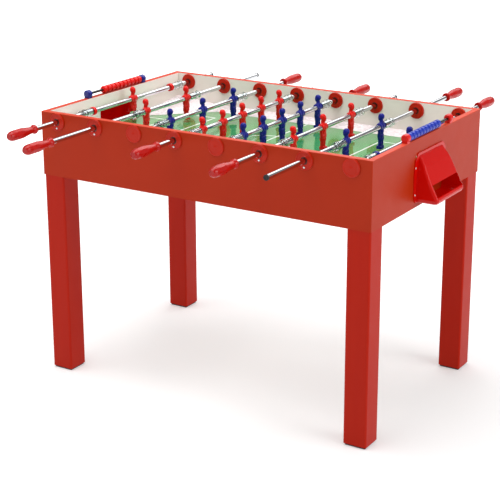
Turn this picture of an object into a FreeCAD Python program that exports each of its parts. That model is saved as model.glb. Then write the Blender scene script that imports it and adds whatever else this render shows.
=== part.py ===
# Table football game: a cabinet on four legs, eight sliding and turning rods with
# twenty-two figures, a ball scoop and a score counter at each end.
# Frame: +Z up, +X along the length, +Y from the front side to the back side,
# origin on the floor under the middle of the cabinet. Millimetres.

import os

import FreeCAD
import Part
import Sketcher

doc = FreeCAD.newDocument("TableFootball")
sheet = doc.addObject("Spreadsheet::Sheet", "Sizes")

SIZES = [
    # cabinet
    ("table_length", 1180, "outside length of the cabinet"),
    ("table_width", 758, "outside width of the cabinet"),
    ("table_height", 880, "floor to rim"),
    ("cabinet_depth", 208, "height of the side panels"),
    ("panel_thick", 19, "side and end panels"),
    ("panel_edge", 1.5, "rounding of the rim edges"),
    # legs
    ("leg_side", 76, "square leg"),
    ("leg_inset", 2, "leg face behind the panel face"),
    ("leg_round", 6, "rounding of the leg's long edges"),
    ("pad_height", 6, "foot pad"),
    ("pad_inset", 5, "foot pad edge behind the leg face"),
    ("block_side", 80, "corner block"),
    ("bolt_diameter", 8, "leg bolt"),
    ("bolt_head_diameter", 14, "leg bolt head"),
    ("bolt_head_height", 5, "leg bolt head"),
    ("bolt_in_leg", 50, "length of bolt inside the leg"),
    ("bolt_near", 30, "bolt to the nearer inner wall face"),
    ("bolt_far", 45, "bolt to the farther inner wall face"),
    # playfield
    ("field_drop", 109, "rim to playing surface"),
    ("field_thick", 10, "playfield board"),
    ("field_gap", 0.3, "board to panel"),
    ("batten", 20, "support batten, square"),
    ("rail_width", 40, "cross rail under the board"),
    ("rail_offset", 190, "cross rail from the middle"),
    ("ramp_width", 63, "side ramp"),
    ("ramp_rise", 10, "side ramp at the wall"),
    ("ramp_lip", 0.8, "thin edge of every ramp"),
    ("corner_leg", 270, "corner ramp along each wall"),
    ("corner_rise", 26, "corner ramp in the corner"),
    ("ramp_screw_in", 50, "side ramp screws to the wall"),
    ("ramp_screw_end", 33, "outermost side ramp screw to the corner ramp"),
    ("corner_screw_x", 122, "corner ramp screw to the end wall"),
    ("corner_screw_y", 73, "corner ramp screw to the side wall"),
    # goal and scoop
    ("goal_width", 200, "goal mouth"),
    ("goal_height", 59, "goal mouth"),
    ("scoop_drop", 43, "rim to the top of the scoop plate"),
    ("scoop_tall", 151, "scoop plate height"),
    ("scoop_plate", 3.5, "scoop plate thickness"),
    ("scoop_top_width", 176, "plate width along its top"),
    ("scoop_width", 224, "plate width at its widest"),
    ("scoop_base_width", 196, "plate width along its bottom"),
    ("scoop_round", 14, "plate corner rounding"),
    ("plate_shoulder", 21, "plate top to where its side turns down"),
    ("plate_widest", 60, "plate top to its widest"),
    ("plate_heel", 18, "plate bottom to where its side turns in"),
    ("scoop_screw_high", 42, "plate top to the upper screws"),
    ("scoop_screw_low", 27, "plate bottom to the lower screws"),
    ("hood_margin", 16, "hood side inside the plate side"),
    ("hood_wall", 3, "hood wall"),
    ("hood_round", 9, "rounding of the hood's outside edges"),
    ("hood_start", 6, "hood projection along its top"),
    ("hood_bend", 27, "projection at the bend"),
    ("hood_bend_drop", 40, "plate top to the bend"),
    ("mouth_top_out", 51, "projection of the mouth's top edge"),
    ("mouth_top_drop", 91, "plate top to the mouth's top edge"),
    ("mouth_low_out", 71, "projection of the mouth's lower edge"),
    ("mouth_low_drop", 129, "plate top to the mouth's lower edge"),
    ("mouth_width", 178, "mouth"),
    ("mouth_edge", 0.5, "rim left above and below the mouth"),
    # rods
    ("end_room", 46, "end wall to the goalkeeper's rod"),
    ("rod_drop", 28.5, "rim to rod axis"),
    ("tube_diameter", 16, "rod tube outside"),
    ("tube_bore", 11, "rod tube inside"),
    ("running_gap", 0.06, "radial clearance of every running fit"),
    ("bearing_diameter", 27, "swivel bearing outside"),
    ("end_play", 0.15, "swivel bearing end play, each end"),
    ("core_reach", 140, "inner rod of a telescopic rod, past the middle"),
    ("core_short", 2, "tube of a telescopic rod ends inside its bumper"),
    ("cap_length", 7, "black end cap"),
    ("cap_lap", 0.5, "end cap proud of the tube"),
    ("cap_plug", 12, "end cap inside the tube"),
    # flanges
    ("panel_hole", 34, "hole in the side panel"),
    ("boss_gap", 0.3, "flange boss to panel hole"),
    ("flange_diameter", 56, "outer flange"),
    ("flange_thick", 5, "outer flange"),
    ("flange_face", 4, "outer flange inside its raised rim"),
    ("flange_lip", 2.5, "lip that holds the bearing"),
    ("lip_hole", 23, "opening in the lip"),
    ("inner_diameter", 54, "inner flange"),
    ("inner_thick", 7, "inner flange"),
    ("inner_lip", 3, "inner lip that holds the bearing"),
    ("screw_circle", 19.5, "flange screw from the rod axis"),
    ("screw_head", 6.4, "flange, ramp and scoop screw heads"),
    ("screw_head_height", 1.6, "screw heads"),
    ("screw_shank", 3, "screw shanks"),
    ("screw_length", 15, "screw shanks"),
    ("scoop_screw_length", 14, "scoop screw shanks"),
    ("ramp_screw_length", 6, "ramp screw shanks in the board"),
    # bumpers, stop rings and handles
    ("bumper_length", 56, "clear bumper"),
    ("bumper_diameter", 28, "clear bumper head"),
    ("bumper_sleeve", 24, "clear bumper sleeve"),
    ("ring_length", 13, "stop ring on a goalkeeper rod"),
    ("ring_diameter", 27, "stop ring"),
    ("ring_offset", 212.5, "stop ring's inner face from the goalkeeper"),
    ("stop_gap", 0.5, "bumper to inner flange at the end of travel"),
    ("handle_length", 120, "handle"),
    ("handle_diameter", 34, "handle at its widest"),
    ("handle_flats", 31.5, "across the handle's eight flats"),
    ("handle_neck", 21, "handle neck"),
    ("handle_collar", 29, "handle collar"),
    ("handle_bore_depth", 100, "rod inside the handle"),
    # figures, measured from the rod axis
    ("figure_width", 31, "across the shoulders"),
    ("foot_drop", 73, "axis to sole"),
    ("foot_high", 15, "foot block"),
    ("foot_wide", 22, "foot block across the table"),
    ("foot_deep", 20, "foot block along the table"),
    ("toe_forward", 1.5, "foot block ahead of the axis"),
    ("head_rise", 42, "axis to crown"),
    ("head_tall", 25, "head"),
    ("head_wide", 19, "head"),
    ("head_deep", 21, "head"),
    # figure spacing
    ("pair_spacing", 232, "two figures on a rod"),
    ("trio_spacing", 186, "three figures on a rod"),
    ("five_spacing", 116, "five figures on a rod"),
    # fingers' room between handle and flange at the end of travel, each rod
    ("grip_room_1", 60, ""),
    ("grip_room_2", 52, ""),
    ("grip_room_3", 43, ""),
    ("grip_room_4", 43, ""),
    ("grip_room_5", 45, ""),
    ("grip_room_6", 37, ""),
    ("grip_room_7", 63, ""),
    ("grip_room_8", 74, ""),
    ("tip_room", 28, "rod end past the far panel at the end of travel"),
    # how far each rod stands off the middle as the table was left
    ("shift_1", 22, ""),
    ("shift_2", 6, ""),
    ("shift_3", 0, ""),
    ("shift_4", 5, ""),
    ("shift_5", 4, ""),
    ("shift_6", 0, ""),
    ("shift_7", -14, ""),
    ("shift_8", -10, ""),
    # score counters
    ("counter_span", 300, "post to post"),
    ("counter_rise", 13.5, "rim to counter rail axis"),
    ("post_diameter", 26, "counter post"),
    ("post_length", 20, "counter post"),
    ("post_foot", 18, "counter post foot"),
    ("rail_diameter", 8, "counter rail"),
    ("rail_in_post", 14, "rail inside the post"),
    ("bead_count", 10, "beads on a counter"),
    ("bead_diameter", 24, "score bead"),
    ("bead_pitch", 21.3, "score bead to score bead"),
    ("bead_slit", 0.2, "between beads"),
    ("bead_rest", 0.5, "beads to the post they rest against"),
]

for row, (alias, number, note) in enumerate(SIZES, 1):
    sheet.set("A%d" % row, note if note else alias.replace("_", " "))
    sheet.set("B%d" % row, str(number))
    sheet.setAlias("B%d" % row, alias)
doc.recompute()


def amount(expression):
    """The number that an expression on the sheet gives now."""
    return float(sheet.evalExpression(expression))


def size(alias):
    return "Sizes." + alias


# Places that many pieces share, as expressions on the sheet.
HALF_LENGTH = "Sizes.table_length / 2"
HALF_WIDTH = "Sizes.table_width / 2"
INNER_LENGTH = "(Sizes.table_length / 2 - Sizes.panel_thick)"
INNER_WIDTH = "(Sizes.table_width / 2 - Sizes.panel_thick)"
RIM = "Sizes.table_height"
CABINET_BOTTOM = "(Sizes.table_height - Sizes.cabinet_depth)"
FIELD = "(Sizes.table_height - Sizes.field_drop)"
ROD_HEIGHT = "(Sizes.table_height - Sizes.rod_drop)"
FIELD_UNDERSIDE = "(%s - Sizes.field_thick)" % FIELD
BATTEN_UNDERSIDE = "(%s - Sizes.batten)" % FIELD_UNDERSIDE
SCOOP_TOP = "(Sizes.table_height - Sizes.scoop_drop)"
SCOOP_BOTTOM = "(%s - Sizes.scoop_tall)" % SCOOP_TOP
INNER_FLANGE_FACE = "(%s - Sizes.inner_thick)" % INNER_WIDTH
TUBE_RADIUS = "Sizes.tube_diameter / 2"
# Eight rods are spread evenly between the two goalkeepers' rods.
ROD_PITCH = "((%s - Sizes.end_room) * 2 / 7)" % INNER_LENGTH


def place(thing, x="0", y="0", z="0", axis=(0, 0, 1), angle=0.0):
    """Turn an object about its own origin, then tie its position to the sheet."""
    turn = FreeCAD.Rotation(FreeCAD.Vector(*axis), angle)
    thing.Placement = FreeCAD.Placement(FreeCAD.Vector(0, 0, 0), turn)
    for letter, expression in (("x", x), ("y", y), ("z", z)):
        thing.setExpression("Placement.Base." + letter, expression)
    return thing


def tie(thing, **expressions):
    """Tie properties of an object to the sheet."""
    for name, expression in expressions.items():
        thing.setExpression(name, expression)
    return thing


def new_body(name):
    body = doc.addObject("PartDesign::Body", name)
    body.Label = name
    return body


def origin_plane(body, role):
    return [f for f in body.Origin.OriginFeatures if f.Role == role][0]


def outline(body, name, role, corners, offset=None):
    """A closed sketch whose corners are pairs of expressions."""
    sketch = body.newObject("Sketcher::SketchObject", name)
    sketch.AttachmentSupport = [(origin_plane(body, role), "")]
    sketch.MapMode = "FlatFace"
    if offset:
        sketch.setExpression("AttachmentOffset.Base.z", offset)
    spots = [FreeCAD.Vector(amount(u), amount(v), 0) for u, v in corners]
    count = len(spots)
    for i in range(count):
        sketch.addGeometry(Part.LineSegment(spots[i], spots[(i + 1) % count]), False)
    for i in range(count):
        sketch.addConstraint(Sketcher.Constraint("Coincident", i, 2, (i + 1) % count, 1))
    for i, (u, v) in enumerate(corners):
        for kind, expression, number in (
            ("DistanceX", u, spots[i].x),
            ("DistanceY", v, spots[i].y),
        ):
            index = sketch.addConstraint(Sketcher.Constraint(kind, -1, 1, i, 1, number))
            sketch.setExpression("Constraints[%d]" % index, expression)
    return sketch


def round_hole(body, name, role, u, v, diameter, offset=None):
    """A sketch of one circle."""
    sketch = body.newObject("Sketcher::SketchObject", name)
    sketch.AttachmentSupport = [(origin_plane(body, role), "")]
    sketch.MapMode = "FlatFace"
    if offset:
        sketch.setExpression("AttachmentOffset.Base.z", offset)
    centre = FreeCAD.Vector(amount(u), amount(v), 0)
    circle = Part.Circle(centre, FreeCAD.Vector(0, 0, 1), amount(diameter) / 2)
    sketch.addGeometry(circle, False)
    for kind, expression in (("DistanceX", u), ("DistanceY", v)):
        index = sketch.addConstraint(
            Sketcher.Constraint(kind, -1, 1, 0, 3, amount(expression))
        )
        sketch.setExpression("Constraints[%d]" % index, expression)
    index = sketch.addConstraint(Sketcher.Constraint("Diameter", 0, amount(diameter)))
    sketch.setExpression("Constraints[%d]" % index, diameter)
    return sketch


def pad(body, sketch, length, middle=False, backwards=False):
    feature = body.newObject("PartDesign::Pad", sketch.Name + "_pad")
    feature.Profile = sketch
    feature.setExpression("Length", length)
    feature.Midplane = middle
    feature.Reversed = backwards
    doc.recompute()
    return feature


def pocket(body, sketch, length, middle=False, backwards=False):
    """Cut a sketch out of a body, and see that it took something away."""
    before = body.Shape.Volume
    feature = body.newObject("PartDesign::Pocket", sketch.Name + "_pocket")
    feature.Profile = sketch
    feature.setExpression("Length", length)
    feature.Midplane = middle
    feature.Reversed = backwards
    doc.recompute()
    if not feature.Shape.Volume < before - 1e-3:
        raise RuntimeError(feature.Name + " cuts nothing")
    return feature


def turned(name, corners):
    """A piece turned about the Y axis; each corner is (radius, distance along Y)."""
    body = new_body(name)
    sketch = outline(body, name + "_profile", "XY_Plane", corners)
    feature = body.newObject("PartDesign::Revolution", name + "_turning")
    feature.Profile = sketch
    feature.ReferenceAxis = (sketch, ["V_Axis"])
    feature.Angle = 360
    doc.recompute()
    return body


def edges_along(shape, direction, keep):
    """Names of the straight edges parallel to a direction whose middle is kept."""
    names = []
    wanted = FreeCAD.Vector(*direction)
    for number, edge in enumerate(shape.Edges, 1):
        if edge.Curve.TypeId != "Part::GeomLine":
            continue
        along = edge.tangentAt(edge.FirstParameter)
        middle = edge.CenterOfMass
        if abs(abs(along * wanted) - 1) < 1e-6 and keep(middle):
            names.append("Edge%d" % number)
    return names


def round_edges(body, feature, names, radius):
    fillet = body.newObject("PartDesign::Fillet", body.Name + "_rounding")
    fillet.Base = (feature, names)
    fillet.setExpression("Radius", radius)
    doc.recompute()
    return fillet


def copy_of(source, name, x="0", y="0", z="0", axis=(0, 0, 1), angle=0.0):
    link = doc.addObject("App::Link", name)
    link.LinkedObject = source
    return place(link, x, y, z, axis, angle)


def group(name, members):
    compound = doc.addObject("Part::Compound", name)
    compound.Links = members
    compound.Label = name
    return compound


def cut(name, base, tool):
    result = doc.addObject("Part::Cut", name)
    result.Base = base
    result.Tool = tool
    result.Label = name
    return result


def box(name, x, y, z, length, width, height):
    """A block from its low corner; every number is an expression."""
    block = doc.addObject("Part::Box", name)
    tie(block, Length=length, Width=width, Height=height)
    return place(block, x, y, z)


def rod_bar(name, x, y, z, diameter, length):
    """A round bar along +Y from its front end."""
    bar = doc.addObject("Part::Cylinder", name)
    tie(bar, Radius="%s / 2" % diameter, Height=length)
    return place(bar, x, y, z, (1, 0, 0), -90)


nodes = []


def node(thing, name):
    """Keep an object as a sub-part of the table under its own name."""
    thing.Label = name
    nodes.append(thing)
    return thing


# ---------------------------------------------------------------- screws and bolts
# One button-headed screw, head upwards from the origin along +Z; the shank length
# is set where it is used.
def screw_form(name, shank_length):
    body = new_body(name)
    head = "Sizes.screw_head / 2"
    tall = size("screw_head_height")
    shank = "Sizes.screw_shank / 2"
    sketch = outline(
        body,
        name + "_profile",
        "XZ_Plane",
        [
            ("0", "-(%s)" % shank_length),
            (shank, "-(%s)" % shank_length),
            (shank, "0"),
            (head, "0"),
            (head, "%s * 0.4" % tall),
            ("%s * 0.6" % head, tall),
            ("0", tall),
        ],
    )
    feature = body.newObject("PartDesign::Revolution", name + "_turning")
    feature.Profile = sketch
    feature.ReferenceAxis = (sketch, ["V_Axis"])
    feature.Angle = 360
    doc.recompute()
    return body


flange_screw = screw_form("flange_screw_form", size("screw_length"))
scoop_screw = screw_form("scoop_screw_form", size("scoop_screw_length"))

# Rods 1 to 8 from -X to +X. "through" rods come out of the far side; the others
# telescope over an inner rod that is held in a closed flange on the far side.
RODS = [
    # number, handle side, through, figures, spacing, team facing
    (1, -1, True, 1, "0", 1),
    (2, -1, True, 2, size("pair_spacing"), 1),
    (3, 1, False, 3, size("trio_spacing"), -1),
    (4, -1, True, 5, size("five_spacing"), 1),
    (5, 1, False, 5, size("five_spacing"), -1),
    (6, -1, True, 3, size("trio_spacing"), 1),
    (7, 1, True, 2, size("pair_spacing"), -1),
    (8, 1, False, 1, "0", -1),
]


def rod_x(number):
    return "%s * %s" % (ROD_PITCH, number - 4.5)


def is_open(number, side):
    """Whether the outer flange on this side has a rod coming out of it."""
    for k, handle_side, through, _, _, _ in RODS:
        if k == number:
            return through or side == handle_side


# Flange screws sit under each rod that comes out, in the flange's flat face.
side_screws = {-1: [], 1: []}
for side in (-1, 1):
    for k in range(1, 9):
        if not is_open(k, side):
            continue
        side_screws[side].append(
            copy_of(
                flange_screw,
                "flange_screw_%s_%d" % ("front" if side < 0 else "back", k),
                rod_x(k),
                "%d * (%s + Sizes.flange_face)" % (side, HALF_WIDTH),
                "%s - Sizes.screw_circle" % ROD_HEIGHT,
                (1, 0, 0),
                90 if side < 0 else -90,
            )
        )
front_screws = group("front_flange_screws", side_screws[-1])
back_screws = group("back_flange_screws", side_screws[1])

# Four screws hold each scoop plate.
SCOOP_SCREW_Y = "(Sizes.scoop_width / 2 - Sizes.hood_margin / 2)"
end_screws = {-1: [], 1: []}
for end in (-1, 1):
    for across in (-1, 1):
        for spot, height in (
            ("high", "%s - Sizes.scoop_screw_high" % SCOOP_TOP),
            ("low", "%s + Sizes.scoop_screw_low" % SCOOP_BOTTOM),
        ):
            end_screws[end].append(
                copy_of(
                    scoop_screw,
                    "scoop_screw_%d_%d_%s" % (end + 1, across + 1, spot),
                    "%d * (%s + Sizes.scoop_plate)" % (end, HALF_LENGTH),
                    "%d * %s" % (across, SCOOP_SCREW_Y),
                    height,
                    (0, 1, 0),
                    90 * end,
                )
            )
left_scoop_screws = group("left_scoop_screws", end_screws[-1])
right_scoop_screws = group("right_scoop_screws", end_screws[1])

# ---------------------------------------------------------------- cabinet panels
# Front and back panels run the full length; the end panels fit between them.
def side_panel(name, side, screws):
    body = new_body(name + "_blank")
    rectangle = outline(
        body,
        name + "_outline",
        "XZ_Plane",
        [
            ("-" + HALF_LENGTH, CABINET_BOTTOM),
            (HALF_LENGTH, CABINET_BOTTOM),
            (HALF_LENGTH, RIM),
            ("-" + HALF_LENGTH, RIM),
        ],
    )
    # the XZ plane's normal is -Y, so a plain pad grows towards the front
    board = pad(body, rectangle, size("panel_thick"))
    outer = -amount(size("panel_thick")) if side < 0 else 0.0
    names = edges_along(
        board.Shape,
        (1, 0, 0),
        lambda m: m.z > amount(RIM) - 0.1,
    ) + edges_along(
        board.Shape,
        (0, 0, 1),
        lambda m: abs(m.y - outer) < 0.1,
    )
    round_edges(body, board, names, size("panel_edge"))
    hole = round_hole(
        body, name + "_hole", "XZ_Plane", rod_x(1), ROD_HEIGHT, size("panel_hole")
    )
    drilled = pocket(body, hole, "Sizes.panel_thick * 2", middle=True)
    pattern = body.newObject("PartDesign::LinearPattern", name + "_holes")
    pattern.Originals = [drilled]
    pattern.Direction = (hole, ["H_Axis"])
    pattern.setExpression("Length", ROD_PITCH + " * 7")
    pattern.Occurrences = 8
    body.Tip = pattern
    if side < 0:
        place(body, "0", "-" + INNER_WIDTH, "0")
    else:
        place(body, "0", HALF_WIDTH, "0")
    doc.recompute()
    return node(cut(name, body, screws), name)


front_panel = side_panel("front_panel", -1, front_screws)
back_panel = side_panel("back_panel", 1, back_screws)


def end_panel(name, end, screws):
    body = new_body(name + "_blank")
    rectangle = outline(
        body,
        name + "_outline",
        "YZ_Plane",
        [
            ("-" + INNER_WIDTH, CABINET_BOTTOM),
            (INNER_WIDTH, CABINET_BOTTOM),
            (INNER_WIDTH, RIM),
            ("-" + INNER_WIDTH, RIM),
        ],
    )
    board = pad(body, rectangle, size("panel_thick"))
    names = edges_along(board.Shape, (0, 1, 0), lambda m: m.z > amount(RIM) - 0.1)
    round_edges(body, board, names, size("panel_edge"))
    goal = outline(
        body,
        name + "_goal",
        "YZ_Plane",
        [
            ("-Sizes.goal_width / 2", FIELD),
            ("Sizes.goal_width / 2", FIELD),
            ("Sizes.goal_width / 2", "%s + Sizes.goal_height" % FIELD),
            ("-Sizes.goal_width / 2", "%s + Sizes.goal_height" % FIELD),
        ],
    )
    pocket(body, goal, "Sizes.panel_thick * 3", middle=True)
    if end < 0:
        place(body, "-" + HALF_LENGTH, "0", "0")
    else:
        place(body, INNER_LENGTH, "0", "0")
    doc.recompute()
    return node(cut(name, body, screws), name)


left_end_panel = end_panel("left_end_panel", -1, left_scoop_screws)
right_end_panel = end_panel("right_end_panel", 1, right_scoop_screws)

# ---------------------------------------------------------------- playfield
field_board = box(
    "playfield_board",
    "-(%s - Sizes.field_gap)" % INNER_LENGTH,
    "-(%s - Sizes.field_gap)" % INNER_WIDTH,
    FIELD_UNDERSIDE,
    "2 * (%s - Sizes.field_gap)" % INNER_LENGTH,
    "2 * (%s - Sizes.field_gap)" % INNER_WIDTH,
    size("field_thick"),
)

# Corner ramps: a triangle in each corner that rises to the corner itself.
inner_length = amount(INNER_LENGTH)
inner_width = amount(INNER_WIDTH)
field_height = amount(FIELD)
corner_leg = amount(size("corner_leg"))
corner_rise = amount(size("corner_rise"))
ramp_lip = amount(size("ramp_lip"))
corner_ramps = []
for end in (-1, 1):
    for side in (-1, 1):
        spots = [
            (end * inner_length, side * (inner_width - corner_leg), ramp_lip),
            (end * (inner_length - corner_leg), side * inner_width, ramp_lip),
            (end * inner_length, side * inner_width, corner_rise),
        ]
        low = [FreeCAD.Vector(x, y, 0) for x, y, _ in spots]
        high = [FreeCAD.Vector(x, y, z) for x, y, z in spots]
        faces = [low, high]
        for i in range(3):
            after = (i + 1) % 3
            faces.append([low[i], low[after], high[after], high[i]])
        skin = [Part.Face(Part.makePolygon(f + [f[0]])) for f in faces]
        solid = Part.Solid(Part.Shell(skin))
        if solid.Volume < 0:
            solid.reverse()
        ramp = doc.addObject("Part::Feature", "corner_ramp_%d%d" % (end + 1, side + 1))
        ramp.Shape = solid
        place(ramp, "0", "0", FIELD)
        corner_ramps.append(ramp)
all_corners = group("corner_ramps", corner_ramps)

# Side ramps: a low wedge along each long wall, stopping at the corner ramps.
strips = []
for side in (-1, 1):
    word = "front" if side < 0 else "back"
    body = new_body("side_ramp_%s_blank" % word)
    wedge = outline(
        body,
        "side_ramp_%s_section" % word,
        "YZ_Plane",
        [
            ("%d * (%s - Sizes.ramp_width)" % (side, INNER_WIDTH), FIELD),
            ("%d * %s" % (side, INNER_WIDTH), FIELD),
            ("%d * %s" % (side, INNER_WIDTH), "%s + Sizes.ramp_rise" % FIELD),
            (
                "%d * (%s - Sizes.ramp_width)" % (side, INNER_WIDTH),
                "%s + Sizes.ramp_lip" % FIELD,
            ),
        ],
    )
    pad(body, wedge, "2 * " + INNER_LENGTH, middle=True)
    strips.append(cut("side_ramp_%s_strip" % word, body, all_corners))

# Ramp screws go straight down through the ramp into the board.
# Five stand along each side ramp and one on each corner ramp.
RAMP_SCREW_Y = "(%s - Sizes.ramp_screw_in)" % INNER_WIDTH
RAMP_SCREW_X = (
    "(%s - Sizes.corner_leg + Sizes.ramp_screw_in - Sizes.ramp_screw_end)" % INNER_LENGTH
)
SIDE_RAMP_TOP = (
    "(Sizes.ramp_lip + (Sizes.ramp_rise - Sizes.ramp_lip)"
    " * (1 - Sizes.ramp_screw_in / Sizes.ramp_width))"
)
CORNER_RAMP_TOP = (
    "(Sizes.ramp_lip + (Sizes.corner_rise - Sizes.ramp_lip)"
    " * (1 - (Sizes.corner_screw_x + Sizes.corner_screw_y) / Sizes.corner_leg))"
)
ramp_screw_places = []
for side in (-1, 1):
    for step in (-1, -0.5, 0, 0.5, 1):
        ramp_screw_places.append(
            (
                "%s * %s" % (RAMP_SCREW_X, step),
                "%d * %s" % (side, RAMP_SCREW_Y),
                SIDE_RAMP_TOP,
            )
        )
    for end in (-1, 1):
        ramp_screw_places.append(
            (
                "%d * (%s - Sizes.corner_screw_x)" % (end, INNER_LENGTH),
                "%d * (%s - Sizes.corner_screw_y)" % (side, INNER_WIDTH),
                CORNER_RAMP_TOP,
            )
        )
ramp_screw_form = screw_form(
    "ramp_screw_form", "Sizes.ramp_screw_length + %s" % CORNER_RAMP_TOP
)
ramp_screw_list = []
for number, (x, y, above) in enumerate(ramp_screw_places, 1):
    ramp_screw_list.append(
        copy_of(
            ramp_screw_form,
            "ramp_screw_%d" % number,
            x,
            y,
            "%s + %s - Sizes.screw_head_height * 0.35" % (FIELD, above),
        )
    )
ramp_screws = group("ramp_screws", ramp_screw_list)
playfield = node(cut("playfield", field_board, ramp_screws), "playfield")
ramps_blank = group("side_ramps_blank", strips + corner_ramps)
side_ramps = node(cut("side_ramps", ramps_blank, ramp_screws), "side_ramps")

# ---------------------------------------------------------------- legs and supports
leg_bolt_list = []
bolt_form = new_body("leg_bolt_form")
bolt_profile = outline(
    bolt_form,
    "leg_bolt_profile",
    "XZ_Plane",
    [
        ("0", "-(%s - %s + Sizes.bolt_in_leg)" % (BATTEN_UNDERSIDE, CABINET_BOTTOM)),
        (
            "Sizes.bolt_diameter / 2",
            "-(%s - %s + Sizes.bolt_in_leg)" % (BATTEN_UNDERSIDE, CABINET_BOTTOM),
        ),
        ("Sizes.bolt_diameter / 2", "0"),
        ("Sizes.bolt_head_diameter / 2", "0"),
        ("Sizes.bolt_head_diameter / 2", size("bolt_head_height")),
        ("0", size("bolt_head_height")),
    ],
)
bolt_turning = bolt_form.newObject("PartDesign::Revolution", "leg_bolt_turning")
bolt_turning.Profile = bolt_profile
bolt_turning.ReferenceAxis = (bolt_profile, ["V_Axis"])
bolt_turning.Angle = 360
doc.recompute()

leg_form = new_body("leg_form")
leg_section = outline(
    leg_form,
    "leg_section",
    "XY_Plane",
    [
        ("-Sizes.leg_side / 2", "-Sizes.leg_side / 2"),
        ("Sizes.leg_side / 2", "-Sizes.leg_side / 2"),
        ("Sizes.leg_side / 2", "Sizes.leg_side / 2"),
        ("-Sizes.leg_side / 2", "Sizes.leg_side / 2"),
    ],
)
leg_pad = pad(leg_form, leg_section, "%s - Sizes.pad_height" % CABINET_BOTTOM)
round_edges(
    leg_form,
    leg_pad,
    edges_along(leg_pad.Shape, (0, 0, 1), lambda m: True),
    size("leg_round"),
)

LEG_X = "(%s - Sizes.leg_inset - Sizes.leg_side / 2)" % HALF_LENGTH
LEG_Y = "(%s - Sizes.leg_inset - Sizes.leg_side / 2)" % HALF_WIDTH
PAD_SIDE = "(Sizes.leg_side - 2 * Sizes.pad_inset)"
corners = [
    ("front_left", -1, -1),
    ("front_right", 1, -1),
    ("back_left", -1, 1),
    ("back_right", 1, 1),
]
pads = []
blocks = []
bolts_here = {}
for word, end, side in corners:
    bolts_here[word] = []
    for number, (in_x, in_y) in enumerate(
        (("bolt_near", "bolt_far"), ("bolt_far", "bolt_near")), 1
    ):
        bolt = copy_of(
            bolt_form,
            "leg_bolt_%s_%d" % (word, number),
            "%d * (%s - Sizes.%s)" % (end, INNER_LENGTH, in_x),
            "%d * (%s - Sizes.%s)" % (side, INNER_WIDTH, in_y),
            BATTEN_UNDERSIDE,
        )
        bolts_here[word].append(bolt)
        leg_bolt_list.append(bolt)
leg_bolts = group("leg_bolts", leg_bolt_list)
for word, end, side in corners:
    leg = copy_of(
        leg_form,
        "leg_%s_blank" % word,
        "%d * %s" % (end, LEG_X),
        "%d * %s" % (side, LEG_Y),
        size("pad_height"),
    )
    pair = group("leg_bolts_%s" % word, bolts_here[word])
    node(cut("leg_" + word, leg, pair), "leg_" + word)
    pads.append(
        box(
            "foot_pad_" + word,
            "%d * %s - %s / 2" % (end, LEG_X, PAD_SIDE),
            "%d * %s - %s / 2" % (side, LEG_Y, PAD_SIDE),
            "0",
            PAD_SIDE,
            PAD_SIDE,
            size("pad_height"),
        )
    )
    blocks.append(
        box(
            "corner_block_" + word,
            "%s * %d - %s" % (INNER_LENGTH, end, "0" if end < 0 else "Sizes.block_side"),
            "%s * %d - %s" % (INNER_WIDTH, side, "0" if side < 0 else "Sizes.block_side"),
            CABINET_BOTTOM,
            size("block_side"),
            size("block_side"),
            "%s - %s" % (BATTEN_UNDERSIDE, CABINET_BOTTOM),
        )
    )
foot_pads = node(group("foot_pads", pads), "foot_pads")

battens = []
for side in (-1, 1):
    battens.append(
        box(
            "batten_long_%d" % (side + 1),
            "-" + INNER_LENGTH,
            "%d * %s - %s" % (side, INNER_WIDTH, "0" if side < 0 else "Sizes.batten"),
            BATTEN_UNDERSIDE,
            "2 * " + INNER_LENGTH,
            size("batten"),
            size("batten"),
        )
    )
    battens.append(
        box(
            "batten_end_%d" % (side + 1),
            "%d * %s - %s" % (side, INNER_LENGTH, "0" if side < 0 else "Sizes.batten"),
            "-(%s - Sizes.batten)" % INNER_WIDTH,
            BATTEN_UNDERSIDE,
            size("batten"),
            "2 * (%s - Sizes.batten)" % INNER_WIDTH,
            size("batten"),
        )
    )
    battens.append(
        box(
            "cross_rail_%d" % (side + 1),
            "%d * Sizes.rail_offset - Sizes.rail_width / 2" % side,
            "-(%s - Sizes.batten)" % INNER_WIDTH,
            BATTEN_UNDERSIDE,
            size("rail_width"),
            "2 * (%s - Sizes.batten)" % INNER_WIDTH,
            size("batten"),
        )
    )
supports_blank = group("field_supports_blank", battens + blocks)
field_supports = node(cut("field_supports", supports_blank, leg_bolts), "field_supports")

# ---------------------------------------------------------------- ball scoops
# A rounded plate screwed over the goal, with a hollow hood that falls away from it
# to a mouth the ball is taken from. Modelled once at the +X end.
def out(expression):
    return "%s + %s" % (HALF_LENGTH, expression)


def down(expression):
    return "%s - (%s)" % (SCOOP_TOP, expression)


scoop_plate = new_body("scoop_plate_form")
plate_corners = [
    ("Sizes.scoop_top_width / 2", down("0")),
    ("Sizes.scoop_width / 2 - 6", down(size("plate_shoulder"))),
    ("Sizes.scoop_width / 2", down(size("plate_widest"))),
    ("Sizes.scoop_width / 2 - 2", down("Sizes.scoop_tall - Sizes.plate_heel")),
    ("Sizes.scoop_base_width / 2", down(size("scoop_tall"))),
]
plate_outline = outline(
    scoop_plate,
    "scoop_plate_outline",
    "YZ_Plane",
    plate_corners + [("-(%s)" % u, v) for u, v in reversed(plate_corners)],
    HALF_LENGTH,
)
plate_pad = pad(scoop_plate, plate_outline, size("scoop_plate"))
plate_rounding = round_edges(
    scoop_plate,
    plate_pad,
    edges_along(plate_pad.Shape, (1, 0, 0), lambda m: True),
    size("scoop_round"),
)


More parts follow.
